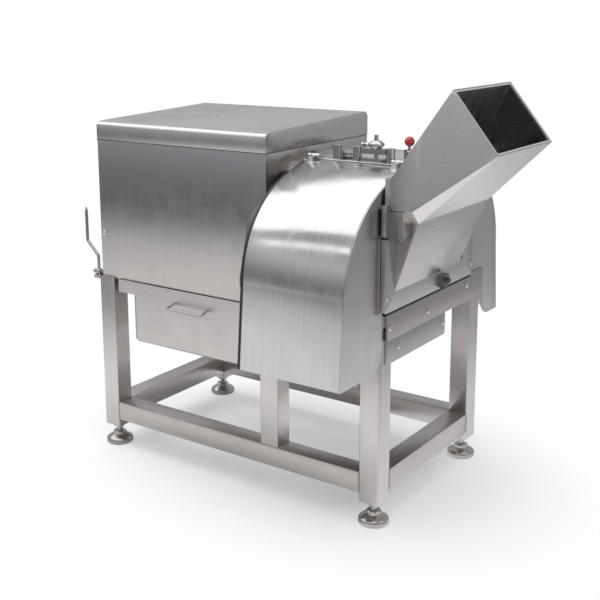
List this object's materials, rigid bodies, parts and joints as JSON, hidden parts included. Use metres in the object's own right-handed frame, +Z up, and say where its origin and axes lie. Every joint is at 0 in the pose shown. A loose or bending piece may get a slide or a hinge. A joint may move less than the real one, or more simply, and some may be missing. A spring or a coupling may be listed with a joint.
{
  "type": "frozen meat dicer",
  "caption": "Floor-standing frozen meat dicer: boxed belt drive, arched cutting head with impeller and knife spindles, hinged feed chute, drawer and tube frame on levelling feet.",
  "frame": {"origin": "on the floor, under the centre of the front left levelling foot", "axes": "+Z up, +X from the drive housing to the feed chute, -Y the front with the drawer handle"},
  "size_m": [1.692, 1.148, 1.465],
  "materials": {
    "tube_steel": "satin brushed",
    "sheet_steel": "brushed",
    "turned_steel": "turned, semi-polished",
    "machined_steel": "machined",
    "knife_steel": "ground",
    "cast_iron": "painted casting",
    "motor_paint": "semi-gloss paint",
    "belt_rubber": "matte",
    "red_knob": "gloss"
  },
  "bodies": {
    "frame": {"back_legs": "tube_steel", "bearing_pedestal": "cast_iron", "bridge_channel": "sheet_steel", "cover_lock_base": "turned_steel", "crown_strip": "sheet_steel", "discharge_hopper": "sheet_steel", "door_hinge_leaf": "turned_steel", "door_hinge_pin": "turned_steel", "drawer_runners": "tube_steel", "drive_belts": "belt_rubber", "drive_motor": "motor_paint", "drum_case": "machined_steel", "end_apron": "sheet_steel", "end_wall": "sheet_steel", "foot_lock_nuts": "turned_steel", "front_legs": "tube_steel", "gear_case": "cast_iron", "head_base": "sheet_steel", "head_bulkhead": "sheet_steel", "housing_body": "sheet_steel", "lever_bracket": "turned_steel", "lower_panel": "sheet_steel", "lower_rails_ends": "tube_steel", "lower_rails_long": "tube_steel", "main_bearing_hub": "machined_steel", "motor_plate": "machined_steel", "slicing_knife": "knife_steel", "spindle_end_plate": "machined_steel", "stripper_comb": "machined_steel", "upper_rails": "tube_steel"},
    "housing_lid": {"housing_lid": "sheet_steel"},
    "front_cover": {"front_cover": "sheet_steel"},
    "back_cover": {"back_cover": "sheet_steel"},
    "feed_door": {"feed_door": "sheet_steel", "feed_chute": "sheet_steel", "chute_boot": "sheet_steel", "door_hinge_block": "turned_steel"},
    "door_latch": {"door_latch": "turned_steel"},
    "drawer": {"drawer_pan": "sheet_steel", "drawer_handle": "turned_steel"},
    "cranked_lever": {"cranked_lever": "turned_steel"},
    "cover_hand_nut": {"cover_hand_nut": "turned_steel"},
    "ball_lever": {"ball_lever": "turned_steel", "ball_knob": "red_knob"},
    "foot_front_left": {"levelling_foot_front_left": "turned_steel"},
    "foot_front_right": {"levelling_foot_front_right": "turned_steel"},
    "foot_back_left": {"levelling_foot_back_left": "turned_steel"},
    "foot_back_right": {"levelling_foot_back_right": "turned_steel"},
    "motor_rotor": {"motor_shaft": "turned_steel", "motor_pulley": "cast_iron"},
    "main_rotor": {"main_shaft": "turned_steel", "shaft_pulley": "cast_iron", "main_gear": "machined_steel", "impeller": "machined_steel"},
    "crosscut_rotor": {"crosscut_spindle": "turned_steel", "crosscut_gear": "machined_steel", "crosscut_knives": "knife_steel"},
    "circular_rotor": {"circular_spindle": "turned_steel", "circular_gear": "machined_steel", "circular_knives": "knife_steel"}
  },
  "joints": [
    {"name": "lid_hinge", "type": "hinge", "parent": "frame", "child": "housing_lid", "pos_m": [0.369, 0.653, 1.241], "axis": [-1, 0, 0], "range_deg": [0, 80]},
    {"name": "front_cover_hinge", "type": "hinge", "parent": "frame", "child": "front_cover", "pos_m": [1.035, 0.112, 1.2169], "axis": [-1, 0, 0], "range_deg": [0, 70]},
    {"name": "back_cover_hinge", "type": "hinge", "parent": "frame", "child": "back_cover", "pos_m": [1.035, 0.464, 1.2169], "axis": [1, 0, 0], "range_deg": [0, 70]},
    {"name": "feed_door_hinge", "type": "hinge", "parent": "frame", "child": "feed_door", "pos_m": [1.294, -0.033, 1.04], "axis": [0, 0, -1], "range_deg": [0, 95]},
    {"name": "door_latch_pivot", "type": "hinge", "parent": "feed_door", "child": "door_latch", "pos_m": [1.262, 0.338, 0.787], "axis": [1, 0, 0], "range_deg": [0, 90]},
    {"name": "drawer_slide", "type": "slide", "parent": "frame", "child": "drawer", "axis": [0, -1, 0], "range_m": [0, 0.5]},
    {"name": "cranked_lever_pivot", "type": "hinge", "parent": "frame", "child": "cranked_lever", "pos_m": [-0.057, -0.022, 0.706], "axis": [1, 0, 0], "range_deg": [0, 90]},
    {"name": "hand_nut_spin", "type": "hinge", "parent": "frame", "child": "cover_hand_nut", "pos_m": [1.102, 0.136, 1.265], "axis": [0, 0, 1], "continuous": true},
    {"name": "ball_lever_pivot", "type": "hinge", "parent": "frame", "child": "ball_lever", "pos_m": [1.181, 0.218, 1.23693], "axis": [-1, 0, 0], "range_deg": [0, 70]},
    {"name": "foot_front_left_spin", "type": "hinge", "parent": "frame", "child": "foot_front_left", "pos_m": [0, 0, 0], "axis": [0, 0, 1], "continuous": true},
    {"name": "foot_front_right_spin", "type": "hinge", "parent": "frame", "child": "foot_front_right", "pos_m": [1.188, 0, 0], "axis": [0, 0, 1], "continuous": true},
    {"name": "foot_back_left_spin", "type": "hinge", "parent": "frame", "child": "foot_back_left", "pos_m": [0, 0.67, 0], "axis": [0, 0, 1], "continuous": true},
    {"name": "foot_back_right_spin", "type": "hinge", "parent": "frame", "child": "foot_back_right", "pos_m": [1.188, 0.67, 0], "axis": [0, 0, 1], "continuous": true},
    {"name": "main_spin", "type": "hinge", "parent": "frame", "child": "main_rotor", "pos_m": [0.594, 0.262, 0.93], "axis": [1, 0, 0], "continuous": true},
    {"name": "motor_spin", "type": "hinge", "parent": "frame", "child": "motor_rotor", "pos_m": [0.394, 0.507, 0.836], "axis": [1, 0, 0], "continuous": true},
    {"name": "crosscut_spin", "type": "hinge", "parent": "frame", "child": "crosscut_rotor", "pos_m": [0.994, -0.02641, 0.96031], "axis": [1, 0, 0], "continuous": true},
    {"name": "circular_spin", "type": "hinge", "parent": "frame", "child": "circular_rotor", "pos_m": [0.994, -0.10641, 0.82175], "axis": [1, 0, 0], "continuous": true}
  ],
  "couplings": [
    {"joint": "motor_spin", "follows": "main_spin", "ratio": 2.6364},
    {"joint": "crosscut_spin", "follows": "main_spin", "ratio": -1.9},
    {"joint": "circular_spin", "follows": "main_spin", "ratio": 3.1667}
  ]
}
